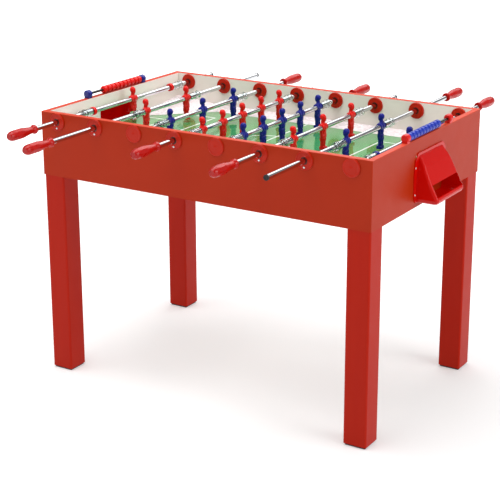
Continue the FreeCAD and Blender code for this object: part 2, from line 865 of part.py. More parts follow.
def hood_solid(name, skin, back):
    """The hood's body seen from the side, trimmed to its outline seen from the end."""
    side_view = new_body(name + "_side")
    profile = outline(
        side_view,
        name + "_side_outline",
        "XZ_Plane",
        [
            (out("(%s)" % back), down("8 + %s" % skin)),
            (out("Sizes.hood_start"), down("8 + %s" % skin)),
            (out("Sizes.hood_bend - %s" % skin), down("Sizes.hood_bend_drop + %s / 2" % skin)),
            (
                out("Sizes.mouth_top_out - %s" % skin),
                down("Sizes.mouth_top_drop + %s / 3" % skin),
            ),
            (
                out("Sizes.mouth_low_out - %s" % skin),
                down("Sizes.mouth_low_drop + %s / 3" % skin),
            ),
            (
                out("Sizes.mouth_low_out + 3 - %s" % skin),
                down("Sizes.mouth_low_drop + 8"),
            ),
            (
                out("Sizes.mouth_low_out - 1 - %s" % skin),
                down("Sizes.scoop_tall - 4 - %s" % skin),
            ),
            (
                out("Sizes.mouth_low_out - 13 - %s / 3" % skin),
                down("Sizes.scoop_tall - 1 - %s" % skin),
            ),
            (out("(%s)" % back), down("Sizes.scoop_tall - 1 - %s" % skin)),
        ],
    )
    pad(side_view, profile, "Sizes.scoop_width * 2", middle=True)
    end_view = new_body(name + "_end")
    half = [
        (
            "Sizes.scoop_top_width / 2 - Sizes.hood_margin * 0.6 - %s" % skin,
            down("4"),
        ),
        (
            "Sizes.scoop_width / 2 - Sizes.hood_margin - 3 - %s" % skin,
            down("Sizes.plate_widest - 6"),
        ),
        (
            "Sizes.scoop_width / 2 - Sizes.hood_margin - %s" % skin,
            down("Sizes.mouth_top_drop - 7"),
        ),
        (
            "Sizes.scoop_width / 2 - Sizes.hood_margin - %s" % skin,
            down("Sizes.scoop_tall - 14"),
        ),
        (
            "Sizes.scoop_width / 2 - Sizes.hood_margin - 10 - %s" % skin,
            down("Sizes.scoop_tall + 6"),
        ),
    ]
    trim = outline(
        end_view,
        name + "_end_outline",
        "YZ_Plane",
        half + [("-(%s)" % u, v) for u, v in reversed(half)],
        out("(%s) - 1" % back),
    )
    pad(end_view, trim, "Sizes.mouth_low_out * 2")
    both = doc.addObject("Part::Common", name)
    both.Base = side_view
    both.Tool = end_view
    doc.recompute()
    return both


def rounded_hood(name, base, radius):
    """Round every edge of a hood that stands off the end panel."""
    fillet = doc.addObject("Part::Fillet", name)
    fillet.Base = base
    off_wall = amount(HALF_LENGTH) + 1
    fillet.Edges = [
        (number, radius, radius)
        for number, edge in enumerate(base.Shape.Edges, 1)
        if edge.BoundBox.XMax > off_wall
    ]
    doc.recompute()
    return fillet


hood_outside = rounded_hood(
    "hood_outside_rounded",
    hood_solid("hood_outside", "0", "0"),
    amount(size("hood_round")),
)
hood_hollow = rounded_hood(
    "hood_hollow_rounded",
    hood_solid("hood_hollow", size("hood_wall"), "-1"),
    amount("Sizes.hood_round - Sizes.hood_wall"),
)

mouth = new_body("scoop_mouth_cut")
mouth_outline = outline(
    mouth,
    "scoop_mouth_outline",
    "XZ_Plane",
    [
        (out("Sizes.mouth_top_out - 14"), down("Sizes.mouth_top_drop + Sizes.mouth_edge")),
        (out("Sizes.mouth_top_out + 14"), down("Sizes.mouth_top_drop + Sizes.mouth_edge")),
        (out("Sizes.mouth_low_out + 14"), down("Sizes.mouth_low_drop - Sizes.mouth_edge")),
        (out("Sizes.mouth_low_out - 14"), down("Sizes.mouth_low_drop - Sizes.mouth_edge")),
    ],
)
pad(mouth, mouth_outline, size("mouth_width"), middle=True)

scoop_outside = doc.addObject("Part::Fuse", "scoop_outside")
scoop_outside.Base = scoop_plate
scoop_outside.Tool = hood_outside
doc.recompute()
scoop_hollow = doc.addObject("Part::Fuse", "scoop_hollow")
scoop_hollow.Base = hood_hollow
scoop_hollow.Tool = mouth
doc.recompute()
scoop_form = cut("scoop_form", scoop_outside, scoop_hollow)
doc.recompute()

right_blank = copy_of(scoop_form, "right_scoop_blank")
left_blank = copy_of(scoop_form, "left_scoop_blank", angle=180)
right_scoop = node(cut("right_scoop", right_blank, right_scoop_screws), "right_scoop")
left_scoop = node(cut("left_scoop", left_blank, left_scoop_screws), "left_scoop")

# ---------------------------------------------------------------- flanges
# Turned about Y with the panel face at y = 0 and the open side along +Y.
BEARING_BORE = "(Sizes.bearing_diameter / 2 + Sizes.running_gap)"
BOSS = "(Sizes.panel_hole / 2 - Sizes.boss_gap)"
open_flange = turned(
    "open_flange_form",
    [
        (BEARING_BORE, "-Sizes.panel_thick"),
        (BOSS, "-Sizes.panel_thick"),
        (BOSS, "0"),
        ("Sizes.flange_diameter / 2", "0"),
        ("Sizes.flange_diameter / 2", "Sizes.flange_thick - 1.5"),
        ("Sizes.flange_diameter / 2 - 1.5", size("flange_thick")),
        ("Sizes.flange_diameter / 2 - 3", size("flange_thick")),
        ("Sizes.flange_diameter / 2 - 4", size("flange_face")),
        ("Sizes.lip_hole / 2 + 2.6", size("flange_face")),
        ("Sizes.lip_hole / 2 + 1.8", size("flange_thick")),
        ("Sizes.lip_hole / 2", size("flange_thick")),
        ("Sizes.lip_hole / 2", "Sizes.flange_thick - Sizes.flange_lip"),
        (BEARING_BORE, "Sizes.flange_thick - Sizes.flange_lip"),
    ],
)
closed_flange = turned(
    "closed_flange_form",
    [
        (BEARING_BORE, "-Sizes.panel_thick"),
        (BOSS, "-Sizes.panel_thick"),
        (BOSS, "0"),
        ("Sizes.flange_diameter / 2", "0"),
        ("Sizes.flange_diameter / 2", "Sizes.flange_thick - 2"),
        ("Sizes.flange_diameter / 2 - 2", "Sizes.flange_thick - 0.5"),
        ("Sizes.flange_diameter / 2 - 6", "Sizes.flange_thick - 0.5"),
        ("Sizes.flange_diameter / 2 - 7.5", size("flange_face")),
        ("0", size("flange_thick")),
        ("0", "Sizes.flange_thick - Sizes.flange_lip"),
        (BEARING_BORE, "Sizes.flange_thick - Sizes.flange_lip"),
    ],
)
inner_flange = turned(
    "inner_flange_form",
    [
        (BEARING_BORE, "0"),
        ("Sizes.inner_diameter / 2", "0"),
        ("Sizes.inner_diameter / 2", "Sizes.inner_thick - 3"),
        ("Sizes.inner_diameter / 2 - 2", "Sizes.inner_thick - 1"),
        ("Sizes.inner_diameter / 2 - 7", "Sizes.inner_thick - 1"),
        ("Sizes.lip_hole / 2 + 3.5", size("inner_thick")),
        ("Sizes.lip_hole / 2", size("inner_thick")),
        ("Sizes.lip_hole / 2", "Sizes.inner_thick - Sizes.inner_lip"),
        (BEARING_BORE, "Sizes.inner_thick - Sizes.inner_lip"),
    ],
)
flange_list = []
for side in (-1, 1):
    word = "front" if side < 0 else "back"
    for k in range(1, 9):
        form = open_flange if is_open(k, side) else closed_flange
        flange_list.append(
            copy_of(
                form,
                "outer_flange_%s_%d" % (word, k),
                rod_x(k),
                "%d * %s" % (side, HALF_WIDTH),
                ROD_HEIGHT,
                (0, 0, 1),
                180 if side < 0 else 0,
            )
        )
        flange_list.append(
            copy_of(
                inner_flange,
                "inner_flange_%s_%d" % (word, k),
                rod_x(k),
                "%d * %s" % (side, INNER_WIDTH),
                ROD_HEIGHT,
                (0, 0, 1),
                0 if side < 0 else 180,
            )
        )
flanges_blank = group("rod_flanges_blank", flange_list)
all_flange_screws = group("all_flange_screws", side_screws[-1] + side_screws[1])
rod_flanges = node(cut("rod_flanges", flanges_blank, all_flange_screws), "rod_flanges")

# ---------------------------------------------------------------- rod furniture
# Swivel bearing: a sleeve held between the lips of its two flanges.
BEARING_OUT = "(%s + Sizes.flange_thick - Sizes.flange_lip - Sizes.end_play)" % HALF_WIDTH
BEARING_IN = "(%s + Sizes.inner_lip + Sizes.end_play)" % INNER_FLANGE_FACE
BEARING_LENGTH = "(%s - %s)" % (BEARING_OUT, BEARING_IN)
ROD_HOLE = "(Sizes.tube_diameter / 2 + Sizes.running_gap)"
bearing_form = turned(
    "bearing_form",
    [
        (ROD_HOLE, "0"),
        ("Sizes.bearing_diameter / 2", "0"),
        ("Sizes.bearing_diameter / 2", BEARING_LENGTH),
        (ROD_HOLE, BEARING_LENGTH),
    ],
)
# Inner rod of a telescopic rod, with the hub that turns in the closed flange.
# Its hub is at y = 0 and the rod runs along +Y.
CORE_RADIUS = "(Sizes.tube_bore / 2 - Sizes.running_gap)"
core_form = turned(
    "core_form",
    [
        ("0", "0"),
        ("Sizes.bearing_diameter / 2", "0"),
        ("Sizes.bearing_diameter / 2", BEARING_LENGTH),
        (CORE_RADIUS, BEARING_LENGTH),
        (CORE_RADIUS, "%s + Sizes.core_reach" % BEARING_OUT),
        ("0", "%s + Sizes.core_reach" % BEARING_OUT),
    ],
)
# Clear bumper: its sleeve starts at y = 0 against a figure or ring.
bumper_form = turned(
    "bumper_form",
    [
        (TUBE_RADIUS, "0"),
        ("Sizes.bumper_sleeve / 2 - 1", "0"),
        ("Sizes.bumper_sleeve / 2", "1"),
        ("Sizes.bumper_sleeve / 2", "Sizes.bumper_length - 23"),
        ("Sizes.bumper_sleeve / 2 - 1.5", "Sizes.bumper_length - 22"),
        ("Sizes.bumper_sleeve / 2 - 1.5", "Sizes.bumper_length - 20"),
        ("Sizes.bumper_diameter / 2 - 1", "Sizes.bumper_length - 20"),
        ("Sizes.bumper_diameter / 2", "Sizes.bumper_length - 19"),
        ("Sizes.bumper_diameter / 2", "Sizes.bumper_length - 11"),
        ("Sizes.bumper_diameter / 2 - 0.9", "Sizes.bumper_length - 10"),
        ("Sizes.bumper_diameter / 2", "Sizes.bumper_length - 9"),
        ("Sizes.bumper_diameter / 2", "Sizes.bumper_length - 1"),
        ("Sizes.bumper_diameter / 2 - 1", size("bumper_length")),
        (TUBE_RADIUS, size("bumper_length")),
    ],
)
ring_form = turned(
    "ring_form",
    [
        (TUBE_RADIUS, "0"),
        ("Sizes.ring_diameter / 2 - 1.5", "0"),
        ("Sizes.ring_diameter / 2", "1.5"),
        ("Sizes.ring_diameter / 2", "Sizes.ring_length / 2 - 0.8"),
        ("Sizes.ring_diameter / 2 - 0.8", "Sizes.ring_length / 2"),
        ("Sizes.ring_diameter / 2", "Sizes.ring_length / 2 + 0.8"),
        ("Sizes.ring_diameter / 2", "Sizes.ring_length - 1.5"),
        ("Sizes.ring_diameter / 2 - 1.5", size("ring_length")),
        (TUBE_RADIUS, size("ring_length")),
    ],
)
# End cap: its head is against the tube end at y = 0 and grows along +Y.
cap_form = turned(
    "cap_form",
    [
        ("0", "-Sizes.cap_plug"),
        ("Sizes.tube_bore / 2", "-Sizes.cap_plug"),
        ("Sizes.tube_bore / 2", "0"),
        ("Sizes.tube_diameter / 2 + Sizes.cap_lap", "0"),
        ("Sizes.tube_diameter / 2 + Sizes.cap_lap", "Sizes.cap_length - 1.5"),
        ("Sizes.tube_diameter / 2 - 1", size("cap_length")),
        ("0", size("cap_length")),
    ],
)

# Handle: collar at y = 0, grip along -Y, eight flats, blind bore for the tube.
handle_turning = turned(
    "handle_turning_form",
    [
        ("0", "0"),
        ("Sizes.handle_collar / 2 - 1.5", "0"),
        ("Sizes.handle_collar / 2", "-1.5"),
        ("Sizes.handle_collar / 2", "-6"),
        ("Sizes.handle_collar / 2 - 1.5", "-8.5"),
        ("Sizes.handle_neck / 2 + 0.8", "-13"),
        ("Sizes.handle_neck / 2", "-18"),
        ("Sizes.handle_neck / 2 + 0.6", "-25"),
        ("Sizes.handle_diameter / 2 - 3.8", "-40"),
        ("Sizes.handle_diameter / 2 - 1.2", "-Sizes.handle_length * 0.49"),
        ("Sizes.handle_diameter / 2", "-Sizes.handle_length * 0.64"),
        ("Sizes.handle_diameter / 2 - 0.3", "-Sizes.handle_length * 0.79"),
        ("Sizes.handle_diameter / 2 - 2.2", "-(Sizes.handle_length - 10)"),
        ("Sizes.handle_diameter / 2 - 5", "-(Sizes.handle_length - 3.5)"),
        ("Sizes.handle_diameter / 2 - 8", "-Sizes.handle_length"),
        ("Sizes.handle_diameter / 2 - 9.2", "-Sizes.handle_length"),
        ("Sizes.handle_diameter / 2 - 9.8", "-(Sizes.handle_length - 1)"),
        ("0", "-(Sizes.handle_length - 1)"),
    ],
)
handle_prism = doc.addObject("Part::Prism", "handle_prism")
handle_prism.Polygon = 8
tie(
    handle_prism,
    Circumradius="Sizes.handle_flats / 2 / cos(22.5 deg)",
    Height="Sizes.handle_length + 2",
)
place(handle_prism, "0", "1", "0", (1, 0, 0), 90)
handle_faceted = doc.addObject("Part::Common", "handle_faceted")
handle_faceted.Base = handle_turning
handle_faceted.Tool = handle_prism
handle_bore = rod_bar(
    "handle_bore",
    "0",
    "-Sizes.handle_bore_depth",
    "0",
    size("tube_diameter"),
    "Sizes.handle_bore_depth + 1",
)
handle_form = cut("handle_form", handle_faceted, handle_bore)
doc.recompute()

# ---------------------------------------------------------------- figure
# Facing +X, rod axis along Y through the shoulders at the origin.
BODY_SECTIONS = [
    # height, half width across (Y), half depth (X)
    ("-(Sizes.foot_drop - Sizes.foot_high + 1)", "8", "6.2"),
    ("-50", "8.6", "6.8"),
    ("-40", "10.2", "8.2"),
    ("-31", "10.6", "8.6"),
    ("-22", "9.6", "7.8"),
    ("-12", "11.4", "9.6"),
    ("-1", "Sizes.figure_width / 2 - 2", "11.6"),
    ("9", "Sizes.figure_width / 2 - 2.2", "11.2"),
    ("15", "9.5", "7.4"),
    ("19", "5.6", "5.4"),
    ("24", "5.2", "5.1"),
]
sections = []
for number, (height, across, deep) in enumerate(BODY_SECTIONS, 1):
    ring = doc.addObject("Part::Ellipse", "figure_section_%d" % number)
    tie(ring, MajorRadius=across, MinorRadius=deep)
    sections.append(place(ring, "0", "0", height, (0, 0, 1), 90))
trunk = doc.addObject("Part::Loft", "figure_trunk")
trunk.Sections = sections
trunk.Solid = True
trunk.Ruled = False
head = doc.addObject("Part::Ellipsoid", "figure_head")
tie(
    head,
    Radius1="Sizes.head_tall / 2",
    Radius2="Sizes.head_deep / 2",
    Radius3="Sizes.head_wide / 2",
)
place(head, "0.5", "0", "Sizes.head_rise - Sizes.head_tall / 2")
arms = []
for side in (-1, 1):
    arm = doc.addObject("Part::Ellipsoid", "figure_arm_%d" % (side + 1))
    tie(arm, Radius1="17.5", Radius2="6.4", Radius3="4.2")
    arms.append(place(arm, "1", "%d * (Sizes.figure_width / 2 - 4.4)" % side, "-17"))
    shoulder = doc.addObject("Part::Ellipsoid", "figure_shoulder_%d" % (side + 1))
    tie(shoulder, Radius1="11.5", Radius2="11", Radius3="6")
    arms.append(
        place(shoulder, "0", "%d * (Sizes.figure_width / 2 - 3)" % side, "1.5")
    )
foot = new_body("figure_foot")
foot_section = outline(
    foot,
    "figure_foot_section",
    "XY_Plane",
    [
        ("Sizes.toe_forward - Sizes.foot_deep / 2", "-Sizes.foot_wide / 2"),
        ("Sizes.toe_forward + Sizes.foot_deep / 2", "-Sizes.foot_wide / 2"),
        ("Sizes.toe_forward + Sizes.foot_deep / 2", "Sizes.foot_wide / 2"),
        ("Sizes.toe_forward - Sizes.foot_deep / 2", "Sizes.foot_wide / 2"),
    ],
    "-Sizes.foot_drop",
)
foot_pad_feature = pad(foot, foot_section, size("foot_high"))
round_edges(
    foot,
    foot_pad_feature,
    edges_along(foot_pad_feature.Shape, (0, 0, 1), lambda m: True)
    + edges_along(
        foot_pad_feature.Shape,
        (0, 1, 0),
        lambda m: m.z > amount("Sizes.foot_high - Sizes.foot_drop") - 0.1,
    )
    + edges_along(
        foot_pad_feature.Shape,
        (1, 0, 0),
        lambda m: m.z > amount("Sizes.foot_high - Sizes.foot_drop") - 0.1,
    ),
    "3",
)
figure_whole = doc.addObject("Part::MultiFuse", "figure_whole")
figure_whole.Shapes = [trunk, head, foot] + arms
figure_bore = rod_bar(
    "figure_bore",
    "0",
    "-Sizes.figure_width",
    "0",
    size("tube_diameter"),
    "Sizes.figure_width * 2",
)
figure_bored = cut("figure_bored", figure_whole, figure_bore)
# the shoulders end flat where the bumper or the bare rod meets them
figure_slab = box(
    "figure_slab",
    "-40",
    "-Sizes.figure_width / 2",
    "-100",
    "80",
    size("figure_width"),
    "200",
)
figure_form = doc.addObject("Part::Common", "figure_form")
figure_form.Base = figure_bored
figure_form.Tool = figure_slab
doc.recompute()

# ---------------------------------------------------------------- eight rods
for k, handle_side, through, count, spacing, facing in RODS:
    x = rod_x(k)
    shift = "Sizes.shift_%d" % k
    if count == 1:
        stack = "(Sizes.ring_offset + Sizes.ring_length + Sizes.bumper_length)"
    else:
        stack = "(%s * %s + Sizes.figure_width / 2 + Sizes.bumper_length)" % (
            spacing,
            (count - 1) / 2,
        )
    travel = "(%s - Sizes.stop_gap - %s)" % (INNER_FLANGE_FACE, stack)
    reach = "(%s + %s + Sizes.grip_room_%d)" % (HALF_WIDTH, travel, k)
    handle_end = "(%s + Sizes.handle_bore_depth)" % reach
    if through:
        far_end = "(%s + %s + Sizes.tip_room)" % (HALF_WIDTH, travel)
    else:
        far_end = "(%s - Sizes.core_short)" % stack
    front_end = handle_end if handle_side < 0 else far_end

    name = "rod_%d_tube" % k
    outside = rod_bar(
        name + "_outside",
        x,
        "%s - %s" % (shift, front_end),
        ROD_HEIGHT,
        size("tube_diameter"),
        "%s + %s" % (handle_end, far_end),
    )
    inside = rod_bar(
        name + "_inside",
        x,
        "%s - %s - 1" % (shift, front_end),
        ROD_HEIGHT,
        size("tube_bore"),
        "%s + %s + 2" % (handle_end, far_end),
    )
    node(cut(name, outside, inside), name)

    name = "rod_%d_handle" % k
    handle = copy_of(
        handle_form,
        name + "_copy",
        x,
        "%s + %d * %s" % (shift, handle_side, reach),
        ROD_HEIGHT,
        (0, 0, 1),
        0 if handle_side < 0 else 180,
    )
    node(group(name, [handle]), name)

    name = "rod_%d_figures" % k
    figures = []
    for i in range(count):
        figures.append(
            copy_of(
                figure_form,
                "%s_%d" % (name, i + 1),
                x,
                "%s + %s * %s" % (shift, spacing, i - (count - 1) / 2),
                ROD_HEIGHT,
                (0, 0, 1),
                0 if facing > 0 else 180,
            )
        )
    if count == 1:
        for side in (-1, 1):
            figures.append(
                copy_of(
                    ring_form,
                    "rod_%d_stop_ring_%d" % (k, side + 1),
                    x,
                    "%s + %d * Sizes.ring_offset" % (shift, side),
                    ROD_HEIGHT,
                    (0, 0, 1),
                    180 if side < 0 else 0,
                )
            )
    node(group(name, figures), name)

    name = "rod_%d_bumpers" % k
    fittings = []
    for side in (-1, 1):
        fittings.append(
            copy_of(
                bumper_form,
                "%s_%d" % (name, side + 1),
                x,
                "%s + %d * (%s - Sizes.bumper_length)" % (shift, side, stack),
                ROD_HEIGHT,
                (0, 0, 1),
                180 if side < 0 else 0,
            )
        )
    if through:
        fittings.append(
            copy_of(
                cap_form,
                "rod_%d_end_cap" % k,
                x,
                "%s - %d * %s" % (shift, handle_side, far_end),
                ROD_HEIGHT,
                (0, 0, 1),
                180 if handle_side > 0 else 0,
            )
        )
    node(group(name, fittings), name)

    bearings = []
    for side in (-1, 1):
        if through or side == handle_side:
            bearings.append(
                copy_of(
                    bearing_form,
                    "rod_%d_bearing_%d" % (k, side + 1),
                    x,
                    "%d * %s" % (side, BEARING_IN),
                    ROD_HEIGHT,
                    (0, 0, 1),
                    180 if side < 0 else 0,
                )
            )
        else:
            bearings.append(
                copy_of(
                    core_form,
                    "rod_%d_core" % k,
                    x,
                    "%d * %s" % (side, BEARING_OUT),
                    ROD_HEIGHT,
                    (0, 0, 1),
                    0 if side < 0 else 180,
                )
            )
    name = "rod_%d_bearings" % k if through else "rod_%d_inner_rod" % k
    node(group(name + "_set", bearings), name)

# ---------------------------------------------------------------- score counters
post_round = turned(
    "post_round_form",
    [
        ("0", "-Sizes.post_length / 2"),
        ("Sizes.post_diameter / 2 - 3", "-Sizes.post_length / 2"),
        ("Sizes.post_diameter / 2", "3 - Sizes.post_length / 2"),
        ("Sizes.post_diameter / 2", "Sizes.post_length / 2 - 3"),
        ("Sizes.post_diameter / 2 - 3", "Sizes.post_length / 2"),
        ("0", "Sizes.post_length / 2"),
    ],
)
post_foot = box(
    "post_foot",
    "-Sizes.post_foot / 2",
    "-Sizes.post_length / 2 + 1",
    "-Sizes.counter_rise",
    size("post_foot"),
    "Sizes.post_length - 2",
    size("counter_rise"),
)
post_whole = doc.addObject("Part::Fuse", "post_whole")
post_whole.Base = post_round
post_whole.Tool = post_foot
post_bore = rod_bar(
    "post_bore",
    "0",
    "Sizes.post_length / 2 - Sizes.rail_in_post",
    "0",
    size("rail_diameter"),
    "Sizes.rail_in_post + 1",
)
post_form = cut("post_form", post_whole, post_bore)
BEAD_BORE = "(Sizes.rail_diameter / 2 + Sizes.running_gap)"
bead_form = turned(
    "bead_form",
    [
        (BEAD_BORE, "Sizes.bead_slit / 2"),
        ("Sizes.bead_diameter / 2 - 5", "Sizes.bead_slit / 2"),
        ("Sizes.bead_diameter / 2 - 4.6", "Sizes.bead_slit / 2 + 1.6"),
        ("Sizes.bead_diameter / 2 - 1", "Sizes.bead_slit / 2 + 3"),
        ("Sizes.bead_diameter / 2", "Sizes.bead_slit / 2 + 5"),
        ("Sizes.bead_diameter / 2", "Sizes.bead_pitch - Sizes.bead_slit / 2 - 5"),
        ("Sizes.bead_diameter / 2 - 1", "Sizes.bead_pitch - Sizes.bead_slit / 2 - 3"),
        ("Sizes.bead_diameter / 2 - 4.6", "Sizes.bead_pitch - Sizes.bead_slit / 2 - 1.6"),
        ("Sizes.bead_diameter / 2 - 5", "Sizes.bead_pitch - Sizes.bead_slit / 2"),
        (BEAD_BORE, "Sizes.bead_pitch - Sizes.bead_slit / 2"),
    ],
)
COUNTER_X = "(%s - Sizes.panel_thick / 2)" % HALF_LENGTH
COUNTER_Z = "(%s + Sizes.counter_rise)" % RIM
COUNTER_FREE = "(Sizes.counter_span / 2 - Sizes.post_length / 2)"
BEAD_ROW = "(Sizes.bead_pitch * Sizes.bead_count)"
for word, end in (("left", -1), ("right", 1)):
    posts = []
    for side in (-1, 1):
        posts.append(
            copy_of(
                post_form,
                "%s_post_%d" % (word, side + 1),
                "%d * %s" % (end, COUNTER_X),
                "%d * Sizes.counter_span / 2" % side,
                COUNTER_Z,
                (0, 0, 1),
                0 if side < 0 else 180,
            )
        )
    if end < 0:
        left_posts = posts
    else:
        right_posts = posts
score_posts = node(group("score_posts", left_posts + right_posts), "score_posts")

rails = []
for word, end in (("left", -1), ("right", 1)):
    rails.append(
        rod_bar(
            "%s_score_rail" % word,
            "%d * %s" % (end, COUNTER_X),
            "-(%s + Sizes.rail_in_post)" % COUNTER_FREE,
            COUNTER_Z,
            size("rail_diameter"),
            "2 * (%s + Sizes.rail_in_post)" % COUNTER_FREE,
        )
    )
score_rails = node(group("score_rails", rails), "score_rails")

# The left row rests at the back post and the right row at the front post.
for word, end in (("left", -1), ("right", 1)):
    if end < 0:
        start = "%s - Sizes.bead_rest - %s" % (COUNTER_FREE, BEAD_ROW)
    else:
        start = "Sizes.bead_rest - %s" % COUNTER_FREE
    beads = []
    for i in range(int(amount(size("bead_count")))):
        beads.append(
            copy_of(
                bead_form,
                "%s_bead_%d" % (word, i + 1),
                "%d * %s" % (end, COUNTER_X),
                "%s + Sizes.bead_pitch * %d" % (start, i),
                COUNTER_Z,
            )
        )
    name = "score_beads_" + word
    node(group(name, beads), name)

# ---------------------------------------------------------------- fasteners
fasteners = node(
    group(
        "fasteners",
        side_screws[-1]
        + side_screws[1]
        + end_screws[-1]
        + end_screws[1]
        + ramp_screw_list
        + leg_bolt_list,
    ),
    "fasteners",
)

# ---------------------------------------------------------------- checks and files
doc.recompute()
for thing in doc.Objects:
    if "Invalid" in thing.State or "Error" in thing.State:
        raise RuntimeError("%s did not rebuild: %s" % (thing.Name, thing.State))
labels = [thing.Label for thing in nodes]
if len(labels) != len(set(labels)) or len(labels) > 60:
    raise RuntimeError("node names repeat or there are too many: %d" % len(labels))
for thing in nodes:
    if thing.Shape.isNull() or not thing.Shape.isValid() or not thing.Shape.Solids:
        raise RuntimeError(thing.Label + " has no sound shape")

os.makedirs("parts", exist_ok=True)
for thing in nodes:
    thing.Shape.exportStep("parts/%s.step" % thing.Label)
print("%d sub-parts written" % len(nodes))
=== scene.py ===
import math

import bpy
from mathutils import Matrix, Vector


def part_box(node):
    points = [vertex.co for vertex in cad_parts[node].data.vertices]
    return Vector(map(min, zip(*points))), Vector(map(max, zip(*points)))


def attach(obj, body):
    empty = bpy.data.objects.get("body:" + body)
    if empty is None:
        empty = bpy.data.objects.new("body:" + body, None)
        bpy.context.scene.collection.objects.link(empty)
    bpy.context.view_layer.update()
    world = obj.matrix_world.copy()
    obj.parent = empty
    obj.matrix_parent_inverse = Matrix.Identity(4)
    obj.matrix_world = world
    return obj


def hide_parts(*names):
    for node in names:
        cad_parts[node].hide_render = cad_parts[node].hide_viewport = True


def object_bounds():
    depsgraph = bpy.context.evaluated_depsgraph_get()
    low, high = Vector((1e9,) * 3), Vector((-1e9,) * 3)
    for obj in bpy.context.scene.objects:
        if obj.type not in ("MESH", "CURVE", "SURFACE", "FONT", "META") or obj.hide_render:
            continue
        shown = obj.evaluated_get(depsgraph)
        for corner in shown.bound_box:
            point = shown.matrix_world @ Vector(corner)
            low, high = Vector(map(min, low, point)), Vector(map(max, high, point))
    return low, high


# A table football game: a red cabinet on four square legs, a green playing
# surface, eight rods of moulded figures, a ball scoop and a row of score beads
# at each end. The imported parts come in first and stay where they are.
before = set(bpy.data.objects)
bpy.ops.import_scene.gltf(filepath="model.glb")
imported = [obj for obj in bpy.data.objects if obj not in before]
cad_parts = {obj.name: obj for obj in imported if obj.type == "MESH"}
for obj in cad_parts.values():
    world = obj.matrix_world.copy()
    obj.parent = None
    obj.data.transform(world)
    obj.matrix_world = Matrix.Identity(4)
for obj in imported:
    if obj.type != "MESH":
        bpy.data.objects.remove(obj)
cad_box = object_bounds()
bpy.context.scene.view_settings.view_transform = "Standard"
bpy.context.scene.view_settings.look = "None"

# ---------------------------------------------------------------- playing surface
# A hardboard sheet faced with a glossy green laminate, on which the pitch lines
# are printed in white; its underside is bare brown board.


def ink(red, green, blue):
    """A colour from a 0 to 255 swatch, as the shader wants it."""

    def linear(part):
        part = part / 255
        return part / 12.92 if part <= 0.04045 else ((part + 0.055) / 1.055) ** 2.4

    return (linear(red), linear(green), linear(blue), 1.0)


class Wire:
    """A shader socket that Python's own signs add, multiply and compare."""

    def __init__(self, finish, socket):
        self.finish, self.socket = finish, socket

    def sum(self, operation, *parts):
        return self.finish.node("ShaderNodeMath", {"operation": operation}, parts)

    def __add__(self, other):
        return self.sum("ADD", self, other)

    def __sub__(self, other):
        return self.sum("SUBTRACT", self, other)

    def __rsub__(self, other):
        return self.sum("SUBTRACT", other, self)

    def __mul__(self, other):
        return self.sum("MULTIPLY", self, other)

    def __gt__(self, other):
        return self.sum("GREATER_THAN", self, other)

    def __lt__(self, other):
        return self.sum("LESS_THAN", self, other)

    def __abs__(self):
        return self.sum("ABSOLUTE", self)

    __radd__, __rmul__ = __add__, __mul__

    def most(self, other):
        return self.sum("MAXIMUM", self, other)

    def root(self):
        return self.sum("SQRT", self)


class Finish:
    """A material in the making: one Principled surface and the nodes that feed it."""

    def __init__(self, name, **even):
        self.material = bpy.data.materials.new(name)
        self.material.use_nodes = True
        self.tree = self.material.node_tree
        self.surface = self.tree.nodes["Principled BSDF"]
        for socket, value in even.items():
            self.surface.inputs[socket.replace("_", " ")].default_value = value
        place = self.node("ShaderNodeTexCoord", {}, {}, "Object")
        self.place = place
        self.x, self.y, self.z = (
            self.node("ShaderNodeSeparateXYZ", {}, [place], axis) for axis in "XYZ"
        )

    def node(self, kind, settings, sockets, out=0):
        """Any node: its settings are set first, then its sockets' values or links."""
        made = self.tree.nodes.new(kind)
        for name, value in settings.items():
            setattr(made, name, value)
        pairs = sockets.items() if isinstance(sockets, dict) else enumerate(sockets)
        for key, value in pairs:
            if isinstance(value, Wire):
                self.tree.links.new(value.socket, made.inputs[key])
            else:
                made.inputs[key].default_value = value
        return Wire(self, made.outputs[out])

    def speckle(self, scale, detail=3.0):
        """Cloudy noise, mostly between 0.3 and 0.7, that stays with the piece."""
        sockets = {"Vector": self.place, "Scale": scale, "Detail": detail}
        return self.node("ShaderNodeTexNoise", {}, sockets)

    def stretched(self, scale, axes, detail=2.0):
        """Noise drawn out into streaks along the axes that have a small value."""
        sockets = {"Vector": self.place, "Scale": axes}
        streaks = self.node("ShaderNodeMapping", {}, sockets)
        sockets = {"Vector": streaks, "Scale": scale, "Detail": detail}
        return self.node("ShaderNodeTexNoise", {}, sockets)

    def between(self, low, high, share):
        """One colour where share is 0, the other where it is 1."""
        settings = {"data_type": "RGBA", "clamp_factor": True}
        return self.node("ShaderNodeMix", settings, {0: share, 6: low, 7: high}, 2)

    def feed(self, **wires):
        """Link wires to the surface's sockets."""
        for socket, wire in wires.items():
            target = self.surface.inputs[socket.replace("_", " ")]
            self.tree.links.new(wire.socket, target)

    def grain(self, height, distance, strength=1.0):
        """Raise the surface by a small height field."""
        sockets = {"Height": height, "Distance": distance, "Strength": strength}
        self.feed(Normal=self.node("ShaderNodeBump", {}, sockets))
        return self

    def on(self, *names):
        """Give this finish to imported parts."""
        for name in names:
            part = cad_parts[name]
            part.data.materials.clear()
            part.data.materials.append(self.material)


field_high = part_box("playfield")[1]
line = 0.003  # half the width of a printed line
box_front, box_half = 0.318, 0.215
area_front, area_half = 0.445, 0.107
circle_radius, spot_radius = 0.1, 0.008
facing = 0.001  # thickness of the laminate

